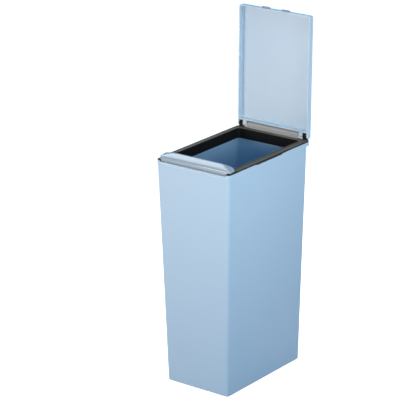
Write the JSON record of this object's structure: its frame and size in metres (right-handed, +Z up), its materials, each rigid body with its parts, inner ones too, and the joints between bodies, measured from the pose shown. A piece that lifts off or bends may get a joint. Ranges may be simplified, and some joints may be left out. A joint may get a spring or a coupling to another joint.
{
  "type": "touch-top waste bin",
  "caption": "Tall narrow tapered waste bin with a dark lift-off collar, a sprung tray-shaped lid hinged at the back and a front touch bar that lets go of its catches.",
  "frame": {"origin": "middle of the base, on the floor under the middle foot pad", "axes": "+Z up, the front with the touch bar towards -Y, the lid hinge along X at the back"},
  "size_m": [0.2066, 0.3296, 0.8382],
  "materials": {
    "body_plastic": "satin moulded polypropylene",
    "lid_plastic": "satin moulded polypropylene",
    "bar_plastic": "glossy moulded plastic",
    "collar_plastic": "fine grained dark moulded plastic",
    "cover_plastic": "grey-brown moulded plastic",
    "catch_plastic": "grey moulded plastic",
    "steel": "drawn steel",
    "pad_rubber": "soft rubber"
  },
  "bodies": {
    "bin": {"bin_body": "body_plastic", "foot_pad_front_left": "pad_rubber", "foot_pad_back_left": "pad_rubber", "foot_pad_front_right": "pad_rubber", "foot_pad_back_right": "pad_rubber", "foot_pad_middle": "pad_rubber"},
    "top_frame": {"frame_collar": "collar_plastic", "hinge_cover": "cover_plastic", "cover_screws": "steel", "hinge_pin_left": "steel", "hinge_pin_right": "steel", "bar_pin_left": "steel", "bar_pin_right": "steel", "bar_spring_left": "steel", "bar_spring_right": "steel"},
    "lid_set": {"lid": "lid_plastic", "lid_catch_left": "catch_plastic", "lid_catch_right": "catch_plastic", "lid_spring_left": "steel", "lid_spring_right": "steel"},
    "bar_set": {"bar_shell": "bar_plastic", "bar_rocker": "collar_plastic"}
  },
  "joints": [
    {"name": "collar_lift", "type": "slide", "parent": "bin", "child": "top_frame", "axis": [0, 0, 1], "range_m": [0, 0.06]},
    {"name": "lid_hinge", "type": "hinge", "parent": "top_frame", "child": "lid_set", "pos_m": [0, 0.16, 0.5515], "axis": [1, 0, 0], "range_deg": [0, 91.5], "stiffness_Nm_per_rad": 0.25, "springref_deg": -22.92},
    {"name": "bar_press", "type": "hinge", "parent": "top_frame", "child": "bar_set", "pos_m": [0, -0.1235, 0.525], "axis": [1, 0, 0], "range_deg": [0, 4], "stiffness_Nm_per_rad": 0.5, "springref_deg": -5.73, "deforming": ["bar_spring_left", "bar_spring_right"]}
  ]
}
